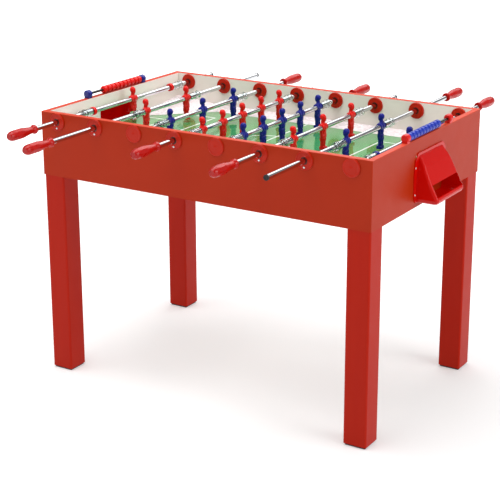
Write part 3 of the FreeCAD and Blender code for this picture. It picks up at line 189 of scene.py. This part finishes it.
pitch = Finish(
    "green_pitch", Specular_IOR_Level=0.3, Coat_Weight=0.8, Coat_Roughness=0.02
)
across, along = abs(pitch.y), abs(pitch.x)
box_line = (abs(along - box_front) < line) * (across < box_half + line)
box_side = (abs(across - box_half) < line) * (along > box_front)
area_line = (abs(along - area_front) < line) * (across < area_half + line)
area_side = (abs(across - area_half) < line) * (along > area_front)
halfway = along < line
from_spot = (pitch.x * pitch.x + pitch.y * pitch.y).root()
circle = abs(from_spot - circle_radius) < line
spot = from_spot < spot_radius
printed = box_line.most(box_side).most(area_line).most(area_side)
printed = printed.most(halfway).most(circle).most(spot)
cloud = pitch.speckle(9.0, 4.0)
turf = pitch.between(ink(62, 150, 80), ink(76, 162, 92), cloud)
face = pitch.between(turf, ink(238, 243, 238), printed)
under = pitch.z < field_high.z - facing
pitch.feed(
    Base_Color=pitch.between(face, ink(122, 86, 58), under),
    Roughness=0.1 + 0.08 * pitch.speckle(30.0) + 0.5 * under,
)
pitch.grain(pitch.speckle(14.0, 1.0), 0.0002, 0.06).on("playfield")

# ---------------------------------------------------------------- ramps
# Thin pale boards along both long walls and a triangle in each corner bring a
# ball back into play; they are faced with the same glossy laminate, in white.
ramp = Finish("pale_ramp", Coat_Weight=0.4, Coat_Roughness=0.06)
ramp.feed(
    Base_Color=ramp.between(
        ink(232, 219, 223), ink(238, 226, 230), ramp.speckle(12.0)
    ),
    Roughness=0.2 + 0.15 * ramp.speckle(40.0),
)
ramp.grain(ramp.speckle(70.0, 2.0), 0.0002, 0.2).on("side_ramps")

# ---------------------------------------------------------------- cabinet
# Four boards lacquered red outside and on the rim; the faces that look on to the
# pitch are off-white. The lacquer has a fine orange peel, and a paler band along
# the top of the rim is a painted highlight.


def orange_peel(finish):
    """The fine dimples of sprayed lacquer."""
    dimples = finish.speckle(260.0, 2.0) + 0.6 * finish.speckle(900.0, 2.0)
    finish.grain(dimples, 0.0002, 0.35)


wall_reach = 0.0006  # from the pitch's edge to just inside the boards' faces
# The second depth is how far down from the rim's top the painted highlight reaches.
lining_top, rim_highlight_depth = 0.0012, 0.0014  # below the top of the rim
rim_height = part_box("front_panel")[1].z

board = Finish("red_cabinet_board", Specular_IOR_Level=0.12)
inward = abs(board.x) < field_high.x + wall_reach
inward = inward * (abs(board.y) < field_high.y + wall_reach)
inward = inward * (board.z < rim_height - lining_top)
# Within that depth of the rim's top the red lacquer is painted paler, as a painted
# highlight.
rim_highlight = board.z > rim_height - rim_highlight_depth
lacquer = board.between(ink(160, 36, 4), ink(170, 44, 8), board.speckle(5.0, 5.0))
lacquer = board.between(lacquer, ink(200, 70, 48), rim_highlight)
lining = board.between(ink(230, 222, 211), ink(240, 234, 225), board.speckle(8.0, 4.0))
board.feed(
    Base_Color=board.between(lacquer, lining, inward),
    Roughness=0.34 + 0.12 * board.speckle(25.0),
)
orange_peel(board)
board.on("front_panel", "back_panel", "left_end_panel", "right_end_panel")

# ---------------------------------------------------------------- legs
# Square legs wrapped and lacquered to match, with softly rounded edges, bolted up
# into the corner blocks; they stand on black rubber pads.
leg = Finish("red_leg", Specular_IOR_Level=0.11)
shade = leg.speckle(4.0, 4.0) * 0.7 + leg.stretched(30.0, (1.0, 1.0, 0.06)) * 0.3
leg.feed(
    Base_Color=leg.between(ink(166, 22, 1), ink(176, 30, 4), shade),
    Roughness=0.32 + 0.12 * leg.speckle(22.0),
)
orange_peel(leg)
leg.on("leg_front_left", "leg_front_right", "leg_back_left", "leg_back_right")

# ---------------------------------------------------------------- foot pads
# Thin pads of black rubber, one under each leg, keep the table from sliding; the
# rod end caps are of the same rubber.
rubber = Finish("black_rubber", IOR=1.5)
rubber.feed(
    Base_Color=rubber.between(ink(18, 18, 20), ink(40, 38, 40), rubber.speckle(120.0)),
    Roughness=0.6 + 0.2 * rubber.speckle(60.0),
)
rubber.grain(rubber.speckle(700.0, 2.0), 0.0003, 0.4).on("foot_pads")

# ---------------------------------------------------------------- field supports
# Battens, cross rails and corner blocks of plain sawn spruce, fixed inside the
# boards, carry the pitch and take the leg bolts.
spruce = Finish("plain_spruce")
rings = spruce.stretched(55.0, (0.08, 1.0, 1.0), 4.0)
spruce.feed(
    Base_Color=spruce.between(ink(176, 138, 92), ink(214, 180, 132), rings),
    Roughness=0.62 + 0.2 * spruce.speckle(40.0),
)
spruce.grain(rings, 0.0006, 0.5).on("field_supports")

# ---------------------------------------------------------------- ball scoops
# A glossy red moulding screwed over each goal from outside, hollow behind, with
# a slot low in its sloping front where the ball is picked out.
scoop = Finish(
    "red_moulding",
    Specular_IOR_Level=0.15,
    Coat_Weight=0.12,
    Coat_Roughness=0.05,
    Emission_Color=(0.12, 0.0, 0.0, 1.0),  # stands in for light through the plastic
    Emission_Strength=1.0,
)
scoop.feed(
    Base_Color=scoop.between(ink(164, 4, 0), ink(176, 8, 1), scoop.speckle(8.0)),
    Roughness=0.2 + 0.1 * scoop.speckle(60.0),
)
scoop.grain(scoop.speckle(500.0, 2.0), 0.0002, 0.2).on("left_scoop", "right_scoop")

# ---------------------------------------------------------------- flanges
# Round red mouldings sit in pairs on both faces of a side board where a rod goes
# through, and hold its bearing; they are closed where no rod comes out.
flange = Finish(
    "red_flange", Specular_IOR_Level=0.15, Coat_Weight=0.04, Coat_Roughness=0.15
)
flange.feed(
    Base_Color=flange.between(ink(168, 26, 4), ink(184, 34, 10), flange.speckle(30.0)),
    Roughness=0.3 + 0.12 * flange.speckle(80.0),
)
flange.grain(flange.speckle(600.0, 2.0), 0.0002, 0.3).on("rod_flanges")

# ---------------------------------------------------------------- rods
# Chromed steel tubes. Five run right through; three slide over a thinner inner
# rod that is held in a closed flange. They turn in dark brown nylon sleeves.
rods = range(1, 9)
through_rods, telescopic_rods = (1, 2, 4, 6, 7), (3, 5, 8)
red_rods = (1, 2, 4, 6)  # their handles are at the front
rod_ends = {number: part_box("rod_%d_tube" % number) for number in rods}
rod_x = {number: (low.x + high.x) / 2 for number, (low, high) in rod_ends.items()}
rod_height = (rod_ends[1][0].z + rod_ends[1][1].z) / 2
core_radius = 0.006  # between the inner rod's radius and its hub's

chrome = Finish("chromed_tube", Metallic=1.0)
drawn = chrome.stretched(180.0, (1.0, 0.02, 1.0), 3.0)
chrome.feed(
    Base_Color=chrome.between(ink(202, 203, 206), ink(222, 223, 226), drawn),
    Roughness=0.03 + 0.06 * drawn,
)
chrome.grain(drawn, 0.00005, 0.2)
for number in rods:
    chrome.on("rod_%d_tube" % number)

nylon = Finish("brown_nylon_sleeve", IOR=1.53)
nylon.feed(
    Base_Color=nylon.between(ink(84, 24, 14), ink(112, 36, 20), nylon.speckle(90.0)),
    Roughness=0.38 + 0.2 * nylon.speckle(70.0),
)
nylon.grain(nylon.speckle(500.0), 0.0002, 0.3)
for number in through_rods:
    nylon.on("rod_%d_bearings" % number)

for number in telescopic_rods:
    core = Finish("rod_%d_inner_steel" % number)
    off_x, off_z = core.x - rod_x[number], core.z - rod_height
    hub = (off_x * off_x + off_z * off_z).root() > core_radius
    core.feed(
        Base_Color=core.between(ink(190, 192, 196), ink(98, 30, 17), hub),
        Metallic=1 - hub,
        Roughness=0.22 + 0.25 * hub + 0.08 * core.speckle(90.0),
    )
    core.grain(core.speckle(500.0), 0.0001, 0.25)
    core.on("rod_%d_inner_rod" % number)

# ---------------------------------------------------------------- bumpers
# Clear plastic sleeves, pushed on to the rod against its outer figures, stop it
# at the walls. Each has a neck groove and a thicker, ringed head.


def turned(name, profile, sides=40, hollow=False):
    """A piece as off a lathe, along +Y, from (distance, radius) points.

    A hollow piece's profile comes back round to its first point.
    """
    bpy.ops.object.select_all(action="DESELECT")
    (at, radius), *steps = profile
    bpy.ops.mesh.primitive_circle_add(
        vertices=sides,
        radius=radius,
        fill_type="NOTHING" if hollow else "NGON",
        location=(0.0, at, 0.0),
        rotation=(math.pi / 2, 0.0, 0.0),
    )
    piece = bpy.context.object
    piece.name = name
    bpy.ops.object.transform_apply(location=True, rotation=True, scale=True)
    bpy.ops.object.mode_set(mode="EDIT")
    bpy.ops.mesh.select_all(action="SELECT")
    for along_rod, wide in steps:
        move = {"value": (0.0, along_rod - at, 0.0)}
        bpy.ops.mesh.extrude_region_move(TRANSFORM_OT_translate=move)
        grow, centre = wide / radius, (0.0, along_rod, 0.0)
        bpy.ops.transform.resize(value=(grow, 1.0, grow), center_override=centre)
        at, radius = along_rod, wide
    bpy.ops.mesh.select_all(action="SELECT")
    bpy.ops.mesh.remove_doubles(threshold=0.00001)
    bpy.ops.mesh.normals_make_consistent(inside=False)
    bpy.ops.object.mode_set(mode="OBJECT")
    return piece


def smooth(piece, degrees):
    """Shade smooth, with sharp edges above the angle."""
    bpy.ops.object.select_all(action="DESELECT")
    piece.select_set(True)
    bpy.context.view_layer.objects.active = piece
    bpy.ops.object.shade_smooth_by_angle(angle=math.radians(degrees))
    return piece


def copy_at(model, name, place, turn=0.0):
    """A copy with its own mesh, turned about the vertical and set in its place."""
    bpy.ops.object.select_all(action="DESELECT")
    model.select_set(True)
    bpy.context.view_layer.objects.active = model
    bpy.ops.object.duplicate(linked=False)
    piece = bpy.context.object
    piece.name = name
    piece.location = place
    piece.rotation_euler = (0.0, 0.0, turn)
    bpy.ops.object.transform_apply(location=True, rotation=True, scale=True)
    return piece


def as_one(name, pieces):
    """Join copies into one object."""
    bpy.ops.object.select_all(action="DESELECT")
    for piece in pieces:
        piece.select_set(True)
    bpy.context.view_layer.objects.active = pieces[0]
    if len(pieces) > 1:
        bpy.ops.object.join()
    piece = bpy.context.object
    piece.name = name
    return piece


def finish_with(piece, finish):
    """Give a new piece its one material."""
    piece.data.materials.clear()
    piece.data.materials.append(finish.material)
    return piece


clear = Finish("clear_plastic", IOR=1.4, Transmission_Weight=1.0)
clear.feed(
    Base_Color=clear.between(
        ink(226, 236, 234), ink(246, 250, 249), clear.speckle(60.0)
    ),
    Roughness=0.03 + 0.06 * clear.speckle(40.0),
)
clear.grain(clear.speckle(300.0, 2.0), 0.0001, 0.1)

# Radii of the bore, the sleeve, its neck, its head and the groove in the head,
# and the length over all.
bore, sleeve, neck, head, groove = 0.0082, 0.0119, 0.0108, 0.0139, 0.0131
bumper_length = 0.0560
bumper = turned(
    "bumper",
    [
        (0.0, bore),
        (0.0, 0.0110),
        (0.0010, sleeve),
        (0.0330, sleeve),
        (0.0338, neck),
        (0.0358, neck),
        (0.0364, groove),
        (0.0376, head),
        (0.0446, head),
        (0.0456, groove),
        (0.0466, head),
        (0.0546, head),
        (0.0558, 0.0129),
        (bumper_length, 0.0120),
        (bumper_length, bore),
        (0.0, bore),
    ],
    hollow=True,
)
crease = 40.0
smooth(bumper, crease)
for number in rods:
    low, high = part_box("rod_%d_figures" % number)
    pair = [
        copy_at(bumper, "bumper_back", (rod_x[number], high.y, rod_height)),
        copy_at(bumper, "bumper_front", (rod_x[number], low.y, rod_height), math.pi),
    ]
    pair = finish_with(as_one("clear_bumpers_%d" % number, pair), clear)
    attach(pair, "rod_%d" % number)
    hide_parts("rod_%d_bumpers" % number)
bpy.data.objects.remove(bumper)

# ---------------------------------------------------------------- rod end caps
# Black rubber caps close the bare ends of the rods that run right through. Each
# has a stem that is pushed into the tube, and a shallow dimple in its face.
stem, brim, cap_length = 0.0054, 0.0085, 0.0070
cap = turned(
    "cap",
    [
        (-0.0120, 0.0048),
        (-0.0110, stem),
        (-0.0002, stem),
        (0.0, brim),
        (0.0052, brim),
        (0.0064, 0.0080),
        (cap_length, 0.0068),
        (cap_length, 0.0030),
        (0.0067, 0.0026),
    ],
    sides=32,
)
smooth(cap, crease)
for number in through_rods:
    low, high = rod_ends[number]
    tip, turn = (high.y, 0.0) if number in red_rods else (low.y, math.pi)
    place = (rod_x[number], tip, rod_height)
    black_cap = copy_at(cap, "rod_%d_end_cap" % number, place, turn)
    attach(finish_with(black_cap, rubber), "rod_%d" % number)
bpy.data.objects.remove(cap)

# ---------------------------------------------------------------- handles
# Red plastic grips with eight soft flats, pressed on to the rod ends: four at
# the front for the red team, four at the back for the blue one.
grip = Finish(
    "red_grip", Specular_IOR_Level=0.25, Coat_Weight=0.15, Coat_Roughness=0.08
)
grip.feed(
    Base_Color=grip.between(ink(156, 8, 4), ink(180, 18, 10), grip.speckle(40.0)),
    Roughness=0.22 + 0.12 * grip.speckle(60.0),
)
grip.grain(grip.speckle(300.0, 2.0), 0.0002, 0.25)
for number in rods:
    grip.on("rod_%d_handle" % number)

# ---------------------------------------------------------------- figures
# Plain players moulded in one colour, red against blue, on the rods through the
# chest. The goalkeepers have a stop ring of the same plastic on either side.


def team_plastic(name, deep, bright):
    """Smooth, slightly glossy moulded plastic."""
    team = Finish(
        name, Specular_IOR_Level=0.2, Coat_Weight=0.15, Coat_Roughness=0.15
    )
    team.feed(
        Base_Color=team.between(ink(*deep), ink(*bright), team.speckle(50.0)),
        Roughness=0.28 + 0.12 * team.speckle(80.0),
    )
    return team.grain(team.speckle(500.0), 0.0002, 0.3)


team_red = team_plastic("red_figure", (205, 6, 1), (220, 16, 4))
team_blue = team_plastic("blue_figure", (6, 14, 112), (12, 26, 136))


def lump(centre, radii, lean=0.0):
    """A rounded form, in millimetres from where the rod runs through the chest."""
    bpy.ops.mesh.primitive_uv_sphere_add(
        segments=32,
        ring_count=20,
        radius=0.001,
        location=[value / 1000 for value in centre],
        rotation=(0.0, lean, 0.0),
        scale=radii,
    )
    return bpy.context.object


def apply_modifier(piece, kind, **settings):
    """Add a modifier to the active piece and apply it."""
    modifier = piece.modifiers.new(kind.lower(), kind)
    for name, value in settings.items():
        setattr(modifier, name, value)
    bpy.ops.object.modifier_apply(modifier=modifier.name)


forms = [
    lump((0.4, 0.0, 30.8), (9.5, 8.9, 11.2)),  # head
    lump((2.0, 0.0, 25.2), (8.2, 7.6, 8.8)),  # jaw
    lump((10.0, 0.0, 28.2), (1.9, 1.5, 2.6)),  # nose
    lump((8.8, 0.0, 23.2), (1.7, 3.0, 1.2)),  # lips
    lump((-1.4, 0.0, 32.0), (9.0, 9.3, 10.0)),  # hair
    lump((-0.6, 0.0, 17.0), (6.6, 6.5, 9.0)),  # neck
    lump((-1.0, 0.0, 11.4), (6.0, 11.0, 4.4)),  # collar
    lump((0.4, 0.0, 1.0), (11.2, 14.5, 14.0)),  # chest
    lump((0.0, 0.0, -13.0), (9.2, 11.0, 15.0)),  # belly
    lump((-0.4, 0.0, -28.0), (9.2, 11.2, 10.5)),  # hips
]
for side in (-1, 1):
    forms += [
        lump((-0.4, side * 9.0, 29.2), (1.9, 1.4, 2.9)),  # ear
        lump((5.4, side * 5.4, 4.2), (5.8, 5.6, 5.8)),  # breast
        lump((0.2, side * 8.5, 0.4), (10.4, 5.5, 10.8)),  # flank
        lump((0.2, side * 12.4, 0.8), (10.9, 6.0, 11.4)),  # shoulder
        lump((0.4, side * 12.0, -12.0), (5.0, 3.8, 14.0), 0.06),  # upper arm
        lump((1.6, side * 11.6, -22.5), (4.3, 3.3, 10.5), -0.18),  # forearm
        lump((3.2, side * 11.0, -31.0), (3.6, 2.7, 4.3)),  # hand
        lump((0.0, side * 5.4, -38.0), (8.2, 6.2, 13.0)),  # thigh
        lump((0.4, side * 5.2, -50.0), (6.0, 5.1, 17.0)),  # shin
        lump((-1.6, side * 5.3, -54.0), (5.2, 4.6, 9.0)),  # calf
        lump((1.0, side * 5.3, -63.5), (8.4, 5.0, 5.0)),  # ankle
    ]
# Both feet are in one block, which strikes the ball.
bpy.ops.mesh.primitive_cube_add(
    size=0.001, location=(0.0015, 0.0, -0.0665), scale=(19, 20.4, 12)
)
forms.append(bpy.context.object)
bpy.ops.object.transform_apply(location=True, rotation=True, scale=True)
apply_modifier(forms[-1], "BEVEL", width=0.0022, segments=4)
# The forms are melted into one skin, and its sides are cut flat at the shoulders.
figure = as_one("figure", forms)
bpy.ops.object.transform_apply(location=True, rotation=True, scale=True)
apply_modifier(figure, "REMESH", mode="VOXEL", voxel_size=0.00055)
apply_modifier(figure, "SMOOTH", factor=0.5, iterations=9)
half_width = 0.0155
for side in (-1, 1):
    bpy.ops.object.mode_set(mode="EDIT")
    bpy.ops.mesh.select_all(action="SELECT")
    bpy.ops.mesh.bisect(
        plane_co=(0.0, side * half_width, 0.0),
        plane_no=(0.0, side, 0.0),
        use_fill=True,
        clear_outer=True,
    )
    bpy.ops.object.mode_set(mode="OBJECT")
apply_modifier(figure, "DECIMATE", ratio=0.16)
smooth(figure, 45.0)

ring_edge, ring_groove, ring_outer, ring_length = 0.0125, 0.0127, 0.0135, 0.0130
ring = turned(
    "stop_ring",
    [
        (0.0, bore),
        (0.0, ring_edge),
        (0.0010, ring_outer),
        (0.0052, ring_outer),
        (0.0058, ring_groove),
        (0.0072, ring_groove),
        (0.0078, ring_outer),
        (0.0120, ring_outer),
        (ring_length, ring_edge),
        (ring_length, bore),
        (0.0, bore),
    ],
    hollow=True,
)
smooth(ring, crease)

players = {1: 1, 2: 2, 3: 3, 4: 5, 5: 5, 6: 3, 7: 2, 8: 1}
for number, count in players.items():
    low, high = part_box("rod_%d_figures" % number)
    red = number in red_rods
    first, last = low.y + half_width, high.y - half_width
    pieces = []
    for order in range(count):
        at = (first + last) / 2
        if count > 1:
            at = first + (last - first) * order / (count - 1)
        place = (rod_x[number], at, rod_height)
        pieces.append(copy_at(figure, "player", place, 0.0 if red else math.pi))
    if count == 1:
        for end, turn in ((high.y, math.pi), (low.y, 0.0)):
            place = (rod_x[number], end, rod_height)
            pieces.append(copy_at(ring, "ring", place, turn))
    plastic = team_red if red else team_blue
    team = finish_with(as_one("players_%d" % number, pieces), plastic)
    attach(team, "rod_%d" % number)
    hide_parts("rod_%d_figures" % number)
for model in (figure, ring):
    bpy.data.objects.remove(model)

# ---------------------------------------------------------------- score counters
# Ten moulded beads on a steel rail at each end, between two plastic posts on the
# rim: red beads and blue posts at one end, blue beads and red posts at the other.
post = Finish(
    "counter_post", Specular_IOR_Level=0.35, Coat_Weight=0.12, Coat_Roughness=0.15
)
post.feed(
    Base_Color=post.between(ink(10, 20, 122), ink(204, 12, 3), post.x > 0.0),
    Roughness=0.28 + 0.12 * post.speckle(80.0),
)
post.grain(post.speckle(500.0), 0.0002, 0.3).on("score_posts")
rail = Finish("counter_rail", Metallic=1.0)
rail.feed(
    Base_Color=rail.between(ink(52, 50, 50), ink(84, 82, 82), rail.speckle(60.0)),
    Roughness=0.2 + 0.12 * rail.speckle(90.0),
)
rail.on("score_rails")
team_red.on("score_beads_left")
# The beads' blue is a lighter copy of the figures' blue: a painted highlight for the key
# light from the right.
lit_bead_blue = Finish(
    "blue_bead_painted_lit", Specular_IOR_Level=0.25, Coat_Weight=0.2, Coat_Roughness=0.15
)
lit_bead_blue.feed(
    Base_Color=lit_bead_blue.between(
        ink(24, 44, 150), ink(34, 58, 172), lit_bead_blue.speckle(50.0)
    ),
    Roughness=0.26 + 0.12 * lit_bead_blue.speckle(80.0),
)
lit_bead_blue.grain(lit_bead_blue.speckle(500.0), 0.0002, 0.3).on("score_beads_right")

# ---------------------------------------------------------------- screws and bolts
# Zinc-plated steel: button-headed screws hold the flanges, scoops and ramps, and
# bolts with plain heads, out of sight under the pitch, hold the legs.
zinc = Finish("zinc_plate", Metallic=1.0)
zinc.feed(
    Base_Color=zinc.between(
        ink(196, 198, 200), ink(228, 229, 230), zinc.speckle(300.0)
    ),
    Roughness=0.24 + 0.16 * zinc.speckle(200.0),
)
zinc.on("fasteners")

# ---------------------------------------------------------------- floor and light
# A white studio floor with a painted glow that rises with distance from the
# middle, and painted shade that greys its right side, under three square soft
# lamps and an even white surround, which mirrors weakly so that glossy faces keep
# their colour.


def grey(level):
    return (level, level, level, 1.0)


floor_drop = 0.0003  # below the pads
glow_start, glow_full = 2.1, 3.8  # distance from the middle
# The floor's painted shade deepens over this distance to the right.
shade_start, shade_full = 0.0, 1.3  # distance to the right

bpy.ops.object.select_all(action="DESELECT")
bpy.ops.mesh.primitive_plane_add(size=60.0, location=(0.0, 0.0, -floor_drop))
floor = bpy.context.object
floor.name = "studio_floor"
white = Finish(
    "studio_white", Roughness=0.9, Specular_IOR_Level=0.1, Emission_Strength=1.0
)
away = (white.x * white.x + white.y * white.y).root()
reach = {"Value": away, "From Min": glow_start, "From Max": glow_full}
far_glow = white.node("ShaderNodeMapRange", {}, reach)
reach = {"Value": white.x, "From Min": shade_start, "From Max": shade_full}
right_painted_shade = white.node("ShaderNodeMapRange", {}, reach)
# The base colour carries painted shade that greys the right side; the emission is a
# painted glow that rises with distance.
white.feed(
    Base_Color=white.between(grey(0.78), grey(0.55), right_painted_shade),
    Emission_Color=white.between(grey(0.3), grey(1.0), far_glow),
)
floor.data.materials.append(white.material)

lit_level, seen_level, mirror_drop = 0.55, 1.0, -0.3
surround = bpy.data.worlds.new("surround")
bpy.context.scene.world = surround
surround.use_nodes = True
air = surround.node_tree
air.nodes["Background"].inputs["Color"].default_value = grey(1.0)
path = air.nodes.new("ShaderNodeLightPath")
level = air.nodes.new("ShaderNodeMapRange")
level.inputs["To Min"].default_value = lit_level
level.inputs["To Max"].default_value = seen_level
mirrored = air.nodes.new("ShaderNodeMath")
mirrored.operation = "MULTIPLY_ADD"
mirrored.inputs[1].default_value = mirror_drop
air.links.new(path.outputs["Is Camera Ray"], level.inputs["Value"])
air.links.new(path.outputs["Is Glossy Ray"], mirrored.inputs[0])
air.links.new(level.outputs["Result"], mirrored.inputs[2])
air.links.new(mirrored.outputs["Value"], air.nodes["Background"].inputs["Strength"])


def soft_light(name, place, aim, width, power):
    """A square studio lamp that faces a point."""
    bpy.ops.object.light_add(type="AREA", location=place)
    lamp = bpy.context.object
    lamp.name = name
    lamp.data.shape, lamp.data.size, lamp.data.energy = "SQUARE", width, power
    lamp.rotation_mode = "QUATERNION"
    lamp.rotation_quaternion = (lamp.location - aim).to_track_quat("Z", "Y")


middle = (cad_box[0] + cad_box[1]) / 2
soft_light("key_light", (4.2, 0.2, 2.6), middle, 2.6, 84.0)
soft_light("back_light", (-0.3, 1.5, 2.3), middle, 2.0, 24.0)
soft_light("top_light", (-0.6, -0.8, 4.6), middle, 3.2, 150.0)

# ---------------------------------------------------------------- camera
# Off the front right corner and above the rim, looking down a little, with a
# long lens that is shifted slightly to frame the table.
azimuth, elevation, roll = map(math.radians, (31.84, 16.67, 0.12))
sensor_width, focal_ratio = 36.0, 2.7448
bpy.ops.object.camera_add(location=(2.227, -3.651, 1.860))
camera = bpy.context.object
camera.name = "camera"
camera.rotation_mode = "XYZ"
camera.rotation_euler = (math.pi / 2 - elevation, roll, azimuth)
camera.data.sensor_width = sensor_width
camera.data.lens = focal_ratio * sensor_width
camera.data.shift_y = -0.1
camera.data.clip_start, camera.data.clip_end = 0.1, 200.0
bpy.context.scene.camera = camera
